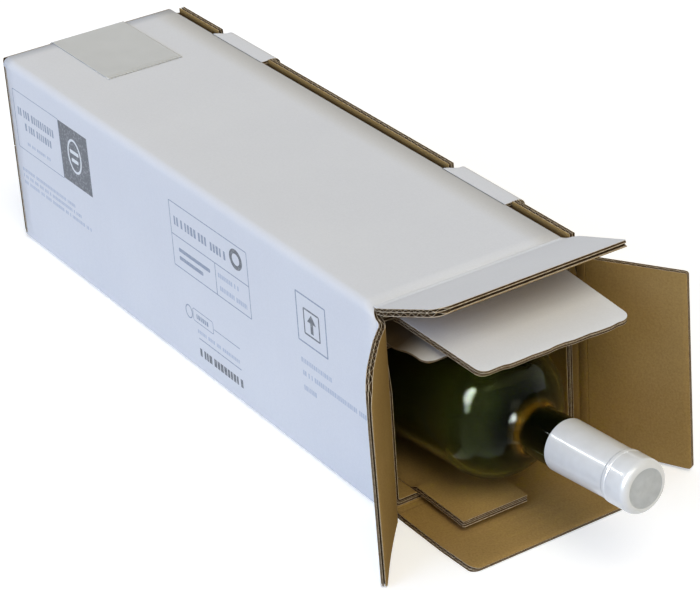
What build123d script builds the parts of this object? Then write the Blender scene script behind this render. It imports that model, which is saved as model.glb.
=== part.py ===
"""Shipping box for one bottle, lying on its side with its front end open.

The box is two folded sheets of corrugated board, white outside and brown
inside: an outer box and a square liner that slides into it. A wine bottle lies
in the liner with its neck out of the open end. Millimetres, +Z up. The long
axis is X, the open end is at +X, and the origin is the centre of the underside.
"""

import os
from math import cos, radians, sin

from build123d import *

# Board and creases
board = 3.6
fold_radius = 5.0
crease_gap = 0.6
crease_bevel = 1.8

# Outer box
box_length = 416.0
outer_width = 125.0
room_over_bottle = 20.8
rim_rise = 0.8
lid_gap = 4.2
lid_crease_setback = 4.0
left_crease_advance = 1.0
right_crease_advance = 3.0
back_flap_gap = 0.3
back_seam = 0.6
back_side_flap_length = 56.0

# Locking tabs on the lid's free edge, the first set in from the back and the other from the front
tab_length = 57.25
back_tab_inset = 57.5
front_tab_inset = 55.0
tab_shoulder = 5.0
tab_drop = 24.0
tab_fold_radius = 4.2
tab_clearance = 1.6
notch_clearance = 0.6

# Flaps at the open end, angles from the wall that each hangs on
top_flap_length = 53.5
top_flap_angle = 20.6
top_flap_root_inset = 5.0
top_flap_widest_inset = 2.25
top_flap_widest_at = 7.0
top_flap_tip_inset = 6.0
top_flap_left_corner = 9.0
bottom_flap_length = 66.5
bottom_flap_clearance = 0.4
bottom_flap_corner = 5.0
left_flap_length = 60.0
left_flap_angle = 40.0
left_flap_slope = 3.5
left_flap_corner = 15.0
right_flap_length = 61.5
right_flap_top_length = 59.2
right_flap_angle = 25.0
right_flap_slope = 5.0
right_flap_lift = 1.5
right_flap_drop = 1.1
side_flap_foot = 0.5
side_flap_clearance = 0.4
rim_fold_ease = 0.1
flap_corner = 1.5

# Liner
liner_clearance = 1.0
liner_lift = 0.3
liner_headroom = 4.7
liner_length = 404.0
liner_fold_radius = 4.6
lap_width = 40.0
lower_lap_inset = 11.0
upper_lap_inset = 1.5
lower_tongue_length = 42.0
upper_tongue_length = 31.0
upper_tongue_angle = 17.0
tongue_corner = 6.0
liner_flap_length = 63.5
liner_flap_angle = 8.2
liner_flap_root_insets = (6.9, 11.9)
liner_flap_tip_insets = (14.9, 7.9)
liner_flap_corner = 8.0

# Tape from the lid over the back edge
tape_width = 50.0
tape_thickness = 0.3
tape_on_lid = 77.0
tape_on_back = 108.0
tape_shift = -3.0

# Bottle, from its foot to its mouth
bottle_diameter = 74.0
glass_wall = 2.6
foot_ring_diameter = 56.0
heel_radius = 6.0
punt_depth = 24.0
shoulder_height = 190.0
shoulder_rise = 15.0
shoulder_radius = 22.0
throat_radius = 14.0
neck_length = 84.0
neck_diameter = 26.8
finish_length = 16.0
finish_step = 0.4
bore_diameter = 18.6
cork_length = 44.0
capsule_length = 58.0
capsule_skin = 0.4
capsule_flare = 0.3
capsule_edge = 2.4
bottle_tilt = 2.4
bottle_yaw = 3.3
foot_x = 51.0
rest_gap = 0.1
wine_gap = 0.15
ullage = 4.0

# Places worked out from the sizes above
half_width = outer_width / 2
# Six thicknesses of board lie above and below the bottle: floor, liner and lap, then lap, liner and lid
lid_height = 6 * board + liner_lift + rest_gap + bottle_diameter + room_over_bottle + liner_headroom
back_x = -box_length / 2
bottom_crease_x = box_length / 2
lid_crease_x = bottom_crease_x - lid_crease_setback
left_crease_x = bottom_crease_x + left_crease_advance
right_crease_x = bottom_crease_x + right_crease_advance
inner_wall_y = half_width - board
lid_under = lid_height - board
lid_edge_y = inner_wall_y - lid_gap
rim_z = lid_height + rim_rise
inner_fold = fold_radius - board
back_inner_x = back_x + board + back_flap_gap
sleeve_start = back_inner_x + fold_radius + board
back_side_flap_low = board + side_flap_clearance
side_flap_high = lid_under - side_flap_clearance
liner_outer_y = inner_wall_y - liner_clearance
liner_inner_y = liner_outer_y - board
liner_low = board + liner_lift
liner_floor = liner_low + board
liner_high = lid_under - liner_headroom
liner_ceiling = liner_high - board
liner_back_x = back_inner_x + board + liner_clearance
liner_front_x = liner_back_x + liner_length
lap_top = liner_floor + board


def across(x):
    """The YZ plane at an x, for sections that run along the box."""
    return Plane(origin=(x, 0, 0), x_dir=(0, 1, 0), z_dir=(1, 0, 0))


def lengthwise(y):
    """The XZ plane at a y, seen with +X to the right; it extrudes towards -Y."""
    return Plane(origin=(0, y, 0), x_dir=(1, 0, 0), z_dir=(0, -1, 0))


def bevel_root(plane, inner_side):
    """Bevel the flap that is being built along its root, on the inner side, so that it can swing in."""
    root = edges().group_by(Axis(plane.origin, plane.x_dir))[0]
    chamfer(root.sort_by(Axis(plane.origin, plane.z_dir * inner_side))[-1], crease_bevel)


# The outer box is one sheet: floor, walls and lid bent round, and flaps that close the back
with BuildPart() as outer_box:
    with BuildSketch(across(sleeve_start)):
        with BuildLine():
            FilletPolyline(
                (lid_edge_y, lid_height),
                (-half_width, lid_height),
                (-half_width, 0),
                (half_width, 0),
                (half_width, rim_z),
                radius=fold_radius,
            )
            FilletPolyline(
                (lid_edge_y, lid_under),
                (-inner_wall_y, lid_under),
                (-inner_wall_y, board),
                (inner_wall_y, board),
                (inner_wall_y, rim_z),
                radius=inner_fold,
            )
            Line((lid_edge_y, lid_height), (lid_edge_y, lid_under))
            Line((half_width, rim_z), (inner_wall_y, rim_z))
        make_face()
    extrude(amount=right_crease_x - crease_gap - sleeve_start)

    # The lid, the floor and the left wall end at their own creases, short of the right wall
    with BuildSketch(lengthwise(half_width)):
        for end_x, end_z in ((lid_crease_x, lid_height), (bottom_crease_x, 0)):
            with Locations((end_x - crease_gap, end_z)):
                Rectangle(2 * fold_radius, 2 * fold_radius, align=(Align.MIN, Align.CENTER))
    extrude(amount=outer_width, mode=Mode.SUBTRACT)
    with BuildSketch(across(left_crease_x - crease_gap)):
        with Locations((-half_width, lid_height / 2)):
            Rectangle(2 * fold_radius, lid_height)
    extrude(amount=2 * fold_radius, mode=Mode.SUBTRACT)

    # Back end: the lid's and the floor's flaps meet outside
    seam_z = lid_height / 2
    with BuildSketch(lengthwise(lid_edge_y)):
        for outer_z, inner_z, end_z in (
            (lid_height, lid_under, seam_z + back_seam / 2),
            (0, board, seam_z - back_seam / 2),
        ):
            with BuildLine():
                FilletPolyline(
                    (sleeve_start, outer_z), (back_x, outer_z), (back_x, end_z), radius=fold_radius
                )
                FilletPolyline(
                    (sleeve_start, inner_z),
                    (back_x + board, inner_z),
                    (back_x + board, end_z),
                    radius=inner_fold,
                )
                Line((sleeve_start, outer_z), (sleeve_start, inner_z))
                Line((back_x, end_z), (back_x + board, end_z))
            make_face()
    extrude(amount=2 * lid_edge_y)

    # Back end: the side walls' flaps lie inside them
    with BuildSketch(Plane.XY.offset(back_side_flap_low)):
        for side in (-1, 1):
            flap_end = side * (half_width - back_side_flap_length)
            with BuildLine():
                FilletPolyline(
                    (sleeve_start, side * half_width),
                    (back_inner_x, side * half_width),
                    (back_inner_x, flap_end),
                    radius=fold_radius,
                )
                FilletPolyline(
                    (sleeve_start, side * inner_wall_y),
                    (back_inner_x + board, side * inner_wall_y),
                    (back_inner_x + board, flap_end),
                    radius=inner_fold,
                )
                Line((sleeve_start, side * half_width), (sleeve_start, side * inner_wall_y))
                Line((back_inner_x, flap_end), (back_inner_x + board, flap_end))
            make_face()
    extrude(amount=side_flap_high - back_side_flap_low)

    # The right wall's rim runs on round the start of its fold
    with BuildSketch(Plane.XY.offset(side_flap_high)):
        with BuildLine():
            FilletPolyline(
                (sleeve_start, half_width),
                (back_inner_x, half_width),
                (back_inner_x, inner_wall_y - inner_fold),
                radius=fold_radius - rim_fold_ease,
            )
            FilletPolyline(
                (sleeve_start, inner_wall_y),
                (back_inner_x + board, inner_wall_y),
                (back_inner_x + board, inner_wall_y - inner_fold),
                radius=inner_fold - rim_fold_ease,
            )
            Line((sleeve_start, half_width), (sleeve_start, inner_wall_y))
            Line(
                (back_inner_x, inner_wall_y - inner_fold),
                (back_inner_x + board, inner_wall_y - inner_fold),
            )
        make_face()
    extrude(amount=rim_z - side_flap_high)

    # Each tab crosses a notch in the right wall, bends down outside it and ends in a slit
    tab_outer_y = half_width + tab_clearance + board
    tip_z = lid_height - tab_drop
    for tab_start in (back_x + back_tab_inset, bottom_crease_x - front_tab_inset - tab_length):
        with BuildSketch(across(tab_start - notch_clearance)):
            with Locations((half_width, lid_under - notch_clearance)):
                Rectangle(2 * board, rim_z, align=(Align.CENTER, Align.MIN))
            with Locations((half_width, tip_z + board / 2)):
                Rectangle(2 * board, board + 2 * notch_clearance)
        extrude(amount=tab_length + 2 * notch_clearance, mode=Mode.SUBTRACT)
        with BuildSketch(across(tab_start + tab_shoulder)):
            with BuildLine():
                FilletPolyline(
                    (lid_edge_y, lid_height),
                    (tab_outer_y, lid_height),
                    (tab_outer_y, tip_z),
                    (inner_wall_y, tip_z),
                    radius=tab_fold_radius,
                )
                FilletPolyline(
                    (lid_edge_y, lid_under),
                    (tab_outer_y - board, lid_under),
                    (tab_outer_y - board, tip_z + board),
                    (inner_wall_y, tip_z + board),
                    radius=tab_fold_radius - board,
                )
                Line((lid_edge_y, lid_height), (lid_edge_y, lid_under))
                Line((inner_wall_y, tip_z), (inner_wall_y, tip_z + board))
            make_face()
        extrude(amount=tab_length - tab_shoulder)
        with BuildSketch(Plane.XY.offset(lid_under)):
            with BuildLine():
                Spline(
                    (tab_start, lid_edge_y),
                    (tab_start + tab_shoulder, half_width),
                    tangents=((0.3, 1), (0.3, 1)),
                )
                Polyline(
                    (tab_start + tab_shoulder, half_width),
                    (tab_start + tab_shoulder + 1, half_width),
                    (tab_start + tab_shoulder + 1, lid_edge_y - 1),
                    (tab_start, lid_edge_y - 1),
                    (tab_start, lid_edge_y),
                )
            make_face()
        extrude(amount=board)
outer_box.part.label = "outer_box"

# The flap on the lid stands a little open
lift = radians(top_flap_angle)
top_flap_plane = Plane(
    origin=(lid_crease_x, 0, lid_height), x_dir=(cos(lift), 0, sin(lift)), z_dir=(-sin(lift), 0, cos(lift))
)
with BuildPart() as top_flap:
    with BuildSketch(top_flap_plane):
        with BuildLine():
            FilletPolyline(
                (0, top_flap_root_inset - half_width),
                (top_flap_widest_at, top_flap_widest_inset - half_width),
                (top_flap_length, top_flap_tip_inset - half_width),
                (top_flap_length, half_width - top_flap_tip_inset),
                (top_flap_widest_at, half_width - top_flap_widest_inset),
                (0, half_width - top_flap_root_inset),
                radius=[0, 0, top_flap_left_corner, flap_corner, 0, 0],
                close=True,
            )
        make_face()
    extrude(amount=-board)
    bevel_root(top_flap_plane, -1)
top_flap.part.label = "top_flap"

# The flap on the floor lies flat, between the side flaps
bottom_flap_edge_y = inner_wall_y - bottom_flap_clearance
bottom_flap_plane = Plane(origin=(bottom_crease_x, 0, 0), x_dir=(1, 0, 0), z_dir=(0, 0, 1))
with BuildPart() as bottom_flap:
    with BuildSketch(bottom_flap_plane):
        with BuildLine():
            FilletPolyline(
                (0, -bottom_flap_edge_y),
                (bottom_flap_length, -bottom_flap_edge_y),
                (bottom_flap_length, bottom_flap_edge_y),
                (0, bottom_flap_edge_y),
                radius=[0, bottom_flap_corner, bottom_flap_corner, 0],
                close=True,
            )
        make_face()
    extrude(amount=board)
    bevel_root(bottom_flap_plane, 1)
bottom_flap.part.label = "bottom_flap"

# The side flaps fit between the lid's flap and the floor's; the left one's top corner is well rounded
left_swing = radians(left_flap_angle)
left_flap_plane = Plane(
    origin=(left_crease_x, -half_width, 0),
    x_dir=(cos(left_swing), -sin(left_swing), 0),
    z_dir=(-sin(left_swing), -cos(left_swing), 0),
)
with BuildPart() as left_flap:
    with BuildSketch(left_flap_plane):
        with BuildLine():
            FilletPolyline(
                (0, side_flap_foot),
                (left_flap_length, side_flap_foot),
                (left_flap_length, side_flap_high),
                (left_flap_length / 3, side_flap_high),
                (0, side_flap_high - left_flap_slope),
                radius=[0, flap_corner, left_flap_corner, left_flap_corner, 0],
                close=True,
            )
        make_face()
    extrude(amount=-board)
    bevel_root(left_flap_plane, -1)
left_flap.part.label = "left_flap"

right_swing = radians(right_flap_angle)
right_flap_plane = Plane(
    origin=(right_crease_x, half_width, 0),
    x_dir=(cos(right_swing), sin(right_swing), 0),
    z_dir=(sin(right_swing), -cos(right_swing), 0),
)
with BuildPart() as right_flap:
    with BuildSketch(right_flap_plane):
        with BuildLine():
            FilletPolyline(
                (0, side_flap_foot),
                (right_flap_length, side_flap_foot + right_flap_lift),
                (right_flap_top_length, side_flap_high - right_flap_drop),
                (0, side_flap_high - right_flap_slope),
                radius=[0, flap_corner, flap_corner, 0],
                close=True,
            )
        make_face()
    extrude(amount=board)
    bevel_root(right_flap_plane, 1)
right_flap.part.label = "right_flap"

# The liner is the second sheet: a square tube, closed by laps glued inside its floor and ceiling,
# whose front ends run on as tongues, and a flap on its ceiling that covers the open end
with BuildPart() as liner:
    with BuildSketch(across(liner_back_x)):
        with Locations((0, (liner_low + liner_high) / 2)):
            RectangleRounded(2 * liner_outer_y, liner_high - liner_low, liner_fold_radius)
            RectangleRounded(
                2 * liner_inner_y,
                liner_ceiling - liner_floor,
                liner_fold_radius - board,
                mode=Mode.SUBTRACT,
            )
    extrude(amount=liner_length)

    # Lower lap and tongue
    lower_lap_y = lower_lap_inset - liner_inner_y
    lower_tongue_x = liner_front_x + lower_tongue_length
    with BuildSketch(Plane.XY.offset(liner_floor)):
        with BuildLine():
            FilletPolyline(
                (liner_back_x, lower_lap_y),
                (lower_tongue_x, lower_lap_y),
                (lower_tongue_x, lower_lap_y + lap_width),
                (liner_back_x, lower_lap_y + lap_width),
                radius=[0, 1, 1, 0],
                close=True,
            )
        make_face()
    extrude(amount=board)

    # Upper lap, and its tongue bent down onto the bottle
    upper_lap_y = upper_lap_inset - liner_inner_y
    with BuildSketch(Plane.XY.offset(liner_ceiling)):
        with Locations((liner_back_x, upper_lap_y)):
            Rectangle(liner_length, lap_width, align=(Align.MIN, Align.MIN))
    extrude(amount=-board)
    droop = radians(upper_tongue_angle)
    upper_tongue_plane = Plane(
        origin=(liner_front_x, 0, liner_ceiling),
        x_dir=(cos(droop), 0, -sin(droop)),
        z_dir=(sin(droop), 0, cos(droop)),
    )
    with BuildSketch(upper_tongue_plane):
        with BuildLine():
            FilletPolyline(
                (-board, upper_lap_y),
                (upper_tongue_length, upper_lap_y),
                (upper_tongue_length, upper_lap_y + lap_width),
                (-board, upper_lap_y + lap_width),
                radius=[0, tongue_corner, tongue_corner, 0],
                close=True,
            )
        make_face()
    extrude(amount=-board)

    # The liner's own flap, over the bottle's shoulder
    sag = radians(liner_flap_angle)
    liner_flap_plane = Plane(
        origin=(liner_front_x, 0, liner_high), x_dir=(cos(sag), 0, -sin(sag)), z_dir=(sin(sag), 0, cos(sag))
    )
    with BuildSketch(liner_flap_plane):
        with BuildLine():
            FilletPolyline(
                (-board, liner_flap_root_insets[0] - liner_outer_y),
                (liner_flap_length, liner_flap_tip_insets[0] - liner_outer_y),
                (liner_flap_length, liner_outer_y - liner_flap_tip_insets[1]),
                (-board, liner_outer_y - liner_flap_root_insets[1]),
                radius=[0, liner_flap_corner, liner_flap_corner, 0],
                close=True,
            )
        make_face()
    extrude(amount=-board)

    # Level the flap's root with the ceiling's top
    with Locations((liner_front_x, 0, liner_high)):
        Box(
            2 * board,
            2 * liner_outer_y,
            board,
            align=(Align.MAX, Align.CENTER, Align.MIN),
            mode=Mode.SUBTRACT,
        )
liner.part.label = "liner"

# A strip of packing tape holds the back flaps to the lid
with BuildPart() as tape:
    with BuildSketch(lengthwise(tape_shift + tape_width / 2)):
        with BuildLine():
            FilletPolyline(
                (back_x + tape_on_lid, lid_height + tape_thickness),
                (back_x - tape_thickness, lid_height + tape_thickness),
                (back_x - tape_thickness, lid_height - tape_on_back),
                radius=fold_radius + tape_thickness,
            )
            FilletPolyline(
                (back_x + tape_on_lid, lid_height),
                (back_x, lid_height),
                (back_x, lid_height - tape_on_back),
                radius=fold_radius,
            )
            Line((back_x + tape_on_lid, lid_height), (back_x + tape_on_lid, lid_height + tape_thickness))
            Line((back_x - tape_thickness, lid_height - tape_on_back), (back_x, lid_height - tape_on_back))
        make_face()
    extrude(amount=tape_width)
tape.part.label = "tape"

# The bottle lies on the liner's floor and left wall, its neck a little raised
bottle_radius = bottle_diameter / 2
neck_radius = neck_diameter / 2
finish_radius = neck_radius + finish_step
bore_radius = bore_diameter / 2
inner_radius = bottle_radius - glass_wall
tilt = radians(bottle_tilt)
yaw = radians(bottle_yaw)
foot_y = rest_gap + bottle_radius - liner_inner_y
foot_z = lap_top + rest_gap + bottle_radius * cos(tilt)
bottle_plane = Plane(
    origin=(foot_x, foot_y, foot_z),
    x_dir=(cos(tilt) * cos(yaw), cos(tilt) * sin(yaw), sin(tilt)),
    z_dir=(sin(yaw), -cos(yaw), 0),
)
bottle_axis = Axis(bottle_plane.origin, bottle_plane.x_dir)
neck_start = shoulder_height + shoulder_rise
bottle_length = neck_start + neck_length
finish_start = bottle_length - finish_length
cork_end = bottle_length - cork_length
capsule_start = bottle_length - capsule_length

with BuildPart() as bottle:
    with BuildSketch(bottle_plane):
        with BuildLine():
            FilletPolyline(
                (0, foot_ring_diameter / 2),
                (0, bottle_radius),
                (shoulder_height, bottle_radius),
                (neck_start, neck_radius),
                (finish_start, neck_radius),
                radius=[heel_radius, shoulder_radius, throat_radius],
            )
            FilletPolyline(
                (finish_start, finish_radius),
                (bottle_length, finish_radius),
                (bottle_length, bore_radius),
                radius=capsule_edge - capsule_skin,
            )
            Line((finish_start, neck_radius), (finish_start, finish_radius))
            FilletPolyline(
                (bottle_length, bore_radius),
                (neck_start, bore_radius),
                (shoulder_height, inner_radius),
                (glass_wall, inner_radius),
                (punt_depth + glass_wall, 0),
                radius=[throat_radius, shoulder_radius - glass_wall, heel_radius],
            )
            Line((punt_depth + glass_wall, 0), (punt_depth, 0))
            Line((punt_depth, 0), (0, foot_ring_diameter / 2))
        make_face()
    revolve(axis=bottle_axis)
bottle.part.label = "bottle"

# Wine fills the glass up to the cork, but for a bubble along the top
with BuildPart() as wine:
    with BuildSketch(bottle_plane):
        with BuildLine():
            FilletPolyline(
                (cork_end, 0),
                (cork_end, bore_radius - wine_gap),
                (neck_start, bore_radius - wine_gap),
                (shoulder_height, inner_radius - wine_gap),
                (glass_wall + wine_gap, inner_radius - wine_gap),
                (punt_depth + glass_wall + wine_gap, 0),
                radius=[0, 0, throat_radius, shoulder_radius - glass_wall, heel_radius, 0],
                close=True,
            )
        make_face()
    revolve(axis=bottle_axis)
    wine_surface = foot_z + inner_radius - ullage
    split(bisect_by=Plane.XY.offset(wine_surface), keep=Keep.BOTTOM)
wine.part.label = "wine"

with BuildPart() as cork:
    with BuildSketch(bottle_plane):
        with Locations((cork_end, 0)):
            Rectangle(cork_length, bore_radius, align=(Align.MIN, Align.MIN))
    revolve(axis=bottle_axis)
cork.part.label = "cork"

# The capsule is a thin cap with a skirt, pressed over the step of the bottle's finish
capsule_end = bottle_length + capsule_skin
with BuildPart() as capsule:
    with BuildSketch(bottle_plane):
        with BuildLine():
            FilletPolyline(
                (finish_start - capsule_skin, finish_radius + capsule_skin),
                (capsule_end, finish_radius + capsule_skin),
                (capsule_end, 0),
                radius=capsule_edge,
            )
            FilletPolyline(
                (bottle_length, 0),
                (bottle_length, finish_radius),
                (finish_start, finish_radius),
                radius=capsule_edge - capsule_skin,
            )
            Line((capsule_end, 0), (bottle_length, 0))
            Polyline(
                (finish_start, finish_radius),
                (finish_start, neck_radius),
                (capsule_start, neck_radius),
                (capsule_start, neck_radius + capsule_skin + capsule_flare),
                (finish_start - capsule_skin, neck_radius + capsule_skin),
                (finish_start - capsule_skin, finish_radius + capsule_skin),
            )
        make_face()
    revolve(axis=bottle_axis)
capsule.part.label = "capsule"

os.makedirs("parts", exist_ok=True)
export_step(outer_box.part, "parts/outer_box.step")
export_step(top_flap.part, "parts/top_flap.step")
export_step(bottom_flap.part, "parts/bottom_flap.step")
export_step(left_flap.part, "parts/left_flap.step")
export_step(right_flap.part, "parts/right_flap.step")
export_step(liner.part, "parts/liner.step")
export_step(tape.part, "parts/tape.step")
export_step(bottle.part, "parts/bottle.step")
export_step(wine.part, "parts/wine.step")
export_step(cork.part, "parts/cork.step")
export_step(capsule.part, "parts/capsule.step")
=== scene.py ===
"""The look of a shipping box for one bottle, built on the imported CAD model.

Every sheet of board is worked out as its real layers: an outer paper, a fluted paper, a
middle paper, a second fluted paper and an inner paper. A sheet is a path of stations,
with a span across each station and a depth below its white face. Sizes are in metres in
the CAD frame: +X towards the open end, +Y towards the wall with the locking tabs, +Z up.
"""

import math

import bpy
import mathutils
import numpy as np
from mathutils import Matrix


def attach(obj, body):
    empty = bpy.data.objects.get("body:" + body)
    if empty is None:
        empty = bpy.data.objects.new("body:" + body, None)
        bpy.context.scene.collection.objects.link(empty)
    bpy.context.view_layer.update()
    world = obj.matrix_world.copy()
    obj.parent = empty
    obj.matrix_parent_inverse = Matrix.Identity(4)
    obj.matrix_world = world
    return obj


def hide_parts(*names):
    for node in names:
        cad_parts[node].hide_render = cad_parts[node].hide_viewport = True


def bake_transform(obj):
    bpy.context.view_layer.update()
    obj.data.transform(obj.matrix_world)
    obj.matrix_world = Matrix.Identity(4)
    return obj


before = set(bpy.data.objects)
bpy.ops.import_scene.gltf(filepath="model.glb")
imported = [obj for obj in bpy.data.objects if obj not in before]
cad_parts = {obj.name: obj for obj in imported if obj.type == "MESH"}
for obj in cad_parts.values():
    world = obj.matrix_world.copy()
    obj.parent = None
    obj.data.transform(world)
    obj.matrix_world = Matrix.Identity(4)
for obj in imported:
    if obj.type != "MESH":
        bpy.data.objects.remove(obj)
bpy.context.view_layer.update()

MM = 0.001
ALONG, ACROSS, UP = np.eye(3)

# Board
board = 3.6 * MM
paper = 0.26 * MM
flute_paper = 0.17 * MM
fine_flute = 1.2 * MM
fine_pitch = 5.0 * MM
flute_pitch = 6.4 * MM
fold_radius = 5.0 * MM
crease_reach = 2.2 * MM
faces_only = ("outer", "middle", "inner")

# The numbers of a sheet's four materials
WHITE, BROWN, RAW, EDGE = range(4)

# Outer box
half_width = 62.5 * MM
inner_wall_y = half_width - board
wall_y = -half_width
lid_height = 121.5 * MM
lid_edge_y = 54.7 * MM
lid_edge_depth = 4.0 * MM
rim_z = 122.3 * MM
notch_z = 117.3 * MM
notch_play = 0.6 * MM
back_x = -208.0 * MM
back_inner_x = back_x + board + 0.3 * MM
back_flap_left = 60.0 * MM
back_side_flap_end = 6.5 * MM
back_side_flap_low, back_side_flap_high = 4.0 * MM, 117.5 * MM
seam_half = 0.3 * MM
lid_crease_x = 204.0 * MM
bottom_crease_x = 208.0 * MM
left_crease_x = 209.0 * MM
right_crease_x = 211.0 * MM
tab_spans = np.array([(-150.5, -93.25), (95.75, 153.0)]) * MM
tab_shoulder = 5.0 * MM
tab_bend = 4.2 * MM
tab_outer_y = half_width + 1.6 * MM + board
tab_tip_z = 97.5 * MM

# Front flaps
top_flap_angle = math.radians(20.6)
left_flap_angle = math.radians(40.0)
right_flap_angle = math.radians(25.0)

# Liner
liner_y = 57.9 * MM
liner_low = 3.9 * MM
liner_high = 113.2 * MM
liner_back_x = -199.5 * MM
liner_front_x = 204.5 * MM
liner_fold = 4.6 * MM
liner_flap_sag = math.radians(8.2)
liner_flap_length = 63.5 * MM
lap_width = 40.0 * MM
floor_lap_low = -43.3 * MM
floor_tongue_end_x = liner_front_x + 42.0 * MM
upper_lap_low = -52.8 * MM
upper_tongue_length = 31.0 * MM
upper_tongue_droop = math.radians(17.0)

# Bottle, measured along its axis from its foot
bottle_length = 289 * MM
bottle_radius = 37 * MM
glass_wall = 2.6 * MM
neck_radius = 13.4 * MM
bore_radius = 9.3 * MM
finish_radius = 13.8 * MM
capsule_start = 231 * MM
capsule_radius = finish_radius + 0.42 * MM
groove_radius = finish_radius + 0.26 * MM
lining_radius = finish_radius + 0.02 * MM
bottle_tilt, bottle_yaw = math.radians(2.4), math.radians(3.3)
bottle_axis = np.array([math.cos(bottle_tilt) * math.cos(bottle_yaw),
                        math.cos(bottle_tilt) * math.sin(bottle_yaw), math.sin(bottle_tilt)])
bottle_side = np.array([-math.sin(bottle_yaw), math.cos(bottle_yaw), 0.0])
bottle_up = np.cross(bottle_axis, bottle_side)
bottle_foot = np.array([51 * MM, -17.2 * MM, 11.2 * MM + bottle_radius * math.cos(bottle_tilt)])

# Tape
tape_skin = 0.3 * MM
tape_left, tape_right = -28 * MM, 22 * MM
tape_end_x = back_x + 77 * MM
tape_end_z = lid_height - 108 * MM


# --- Materials ----------------------------------------------------------------------


class Nodes:
    """Adds shader nodes to the tree of one material or world and joins them."""

    def __init__(self, owner, output="OutputMaterial"):
        owner.use_nodes = True
        self.owner = owner
        self.tree = owner.node_tree
        self.tree.nodes.clear()
        self.output = self.tree.nodes.new("ShaderNode" + output)
        self.source = None

    def add(self, kind, settings=None, **inputs):
        """A node. An input's key is its name, or i and its number; a socket as value is linked."""
        node = self.tree.nodes.new("ShaderNode" + kind)
        for key, value in (settings or {}).items():
            setattr(node, key, value)
        for key, value in inputs.items():
            numbered = key[0] == "i" and key[1:].isdigit()
            socket = node.inputs[int(key[1:]) if numbered else key.replace("_", " ")]
            if isinstance(value, bpy.types.NodeSocket):
                self.tree.links.new(value, socket)
            else:
                socket.default_value = value
        return node

    def place(self, kind="Object"):
        """The object's own coordinates, or with "UV" the piece's map."""
        if self.source is None:
            self.source = self.add("TexCoord")
        return self.source.outputs[kind]

    def noise(self, scale, detail, roughness, vector=None):
        """The grey of a noise pattern, fixed to the piece."""
        vector = self.place() if vector is None else vector
        return self.add("TexNoise", Vector=vector, Scale=scale, Detail=detail,
                        Roughness=roughness).outputs[0]

    def math(self, operation, *values):
        inputs = {f"i{k}": value for k, value in enumerate(values)}
        return self.add("Math", {"operation": operation}, **inputs).outputs[0]

    def mix(self, share, first, second, blend="MIX"):
        settings = {"data_type": "RGBA", "blend_type": blend}
        return self.add("Mix", settings, i0=share, i6=first, i7=second).outputs[2]

    def ramp(self, value, *stops):
        """A colour ramp; stops are (position, colour)."""
        node = self.add("ValToRGB", i0=value)
        elements = node.color_ramp.elements
        for index, (position, colour) in ((0, stops[0]), (1, stops[-1])):
            elements[index].position, elements[index].color = position, (*colour, 1)
        for position, colour in stops[1:-1]:
            elements.new(position).color = (*colour, 1)
        return node.outputs[0]

    def bump(self, strength, distance, height):
        return self.add("Bump", Strength=strength, Distance=distance, Height=height).outputs[0]

    def surface(self, colour, roughness, **constants):
        """Ends the tree in a principled shader."""
        return self.finish(self.add("BsdfPrincipled", Base_Color=colour, Roughness=roughness,
                                    **constants))

    def finish(self, shader):
        self.tree.links.new(shader.outputs[0], self.output.inputs[0])
        return self.owner


def new_material(name):
    return Nodes(bpy.data.materials.new(name))


def paper_material(name, tint, dark, rough, flute_show, fleck, shine, painted_shade=None):
    """Board paper: a tint with soft clouds, fine fibres and faint ribs one flute pitch apart.

    The ribs run across the sheet's own UV map, whose first axis counts metres across the
    flutes. The last argument, if given, is a colour of painted shade and two places along the box
    between which that shade fades out.
    """
    m = new_material(name)
    fibres = m.noise(900.0, 2.0, 0.6)
    flecks = m.add("TexVoronoi", Vector=m.place(), Scale=420.0, Randomness=1.0)
    clouds = m.ramp(m.noise(14.0, 3.0, 0.55), (0.3, dark), (0.7, tint))
    fibre_grey = m.ramp(fibres, (0.3, (1 - fleck,) * 3), (0.7, (1, 1, 1)))
    speck_grey = m.ramp(flecks.outputs["Distance"],
                        (0.0, (1 - 1.4 * fleck,) * 3), (0.16, (1, 1, 1)))
    colour = m.mix(1.0, clouds, fibre_grey, "MULTIPLY")
    colour = m.mix(0.7, colour, speck_grey, "MULTIPLY")
    run = m.add("SeparateXYZ", Vector=m.place("UV")).outputs[0]
    rib = m.math("SINE", m.math("MULTIPLY", run, 2 * math.pi / flute_pitch))
    height = m.math("MULTIPLY_ADD", rib, flute_show, m.math("MULTIPLY", fibres, 0.5))
    if painted_shade is not None:
        # Painted shade: the colour darkens to a dark brown towards one end, standing in for shade
        painted_shade_colour, start, end = painted_shade
        along = m.add("SeparateXYZ", Vector=m.place()).outputs[0]
        share = m.add("MapRange", i0=along, i1=start, i2=end).outputs[0]
        colour = m.mix(share, (*painted_shade_colour, 1.0), colour)
    return m.surface(colour, rough, Normal=m.bump(0.35, 0.00012, height),
                     Specular_IOR_Level=shine)


def cut_material(name, scale, strength, roughness, *stops):
    """Cut or torn paper: one rough grain in three tones."""
    m = new_material(name)
    grain = m.noise(scale, 3.0, 0.7)
    return m.surface(m.ramp(grain, *stops), roughness, Normal=m.bump(strength, 0.0001, grain),
                     Specular_IOR_Level=0.05)


def make_tape():
    """Clear packing tape over white board: a warmer, shinier grey with faint stretch lines."""
    m = new_material("packing_tape")
    stretched = m.add("Mapping", Vector=m.place(), Scale=(12.0, 900.0, 12.0)).outputs[0]
    lines = m.noise(1.0, 2.0, 0.5, stretched)
    colour = m.ramp(m.noise(60.0, 2.0, 0.5), (0.3, (0.50, 0.50, 0.475)), (0.7, (0.53, 0.53, 0.505)))
    return m.surface(colour, 0.34, Normal=m.bump(0.2, 0.00008, lines), Specular_IOR_Level=0.3,
                     Coat_Weight=0.08, Coat_Roughness=0.3)


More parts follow.
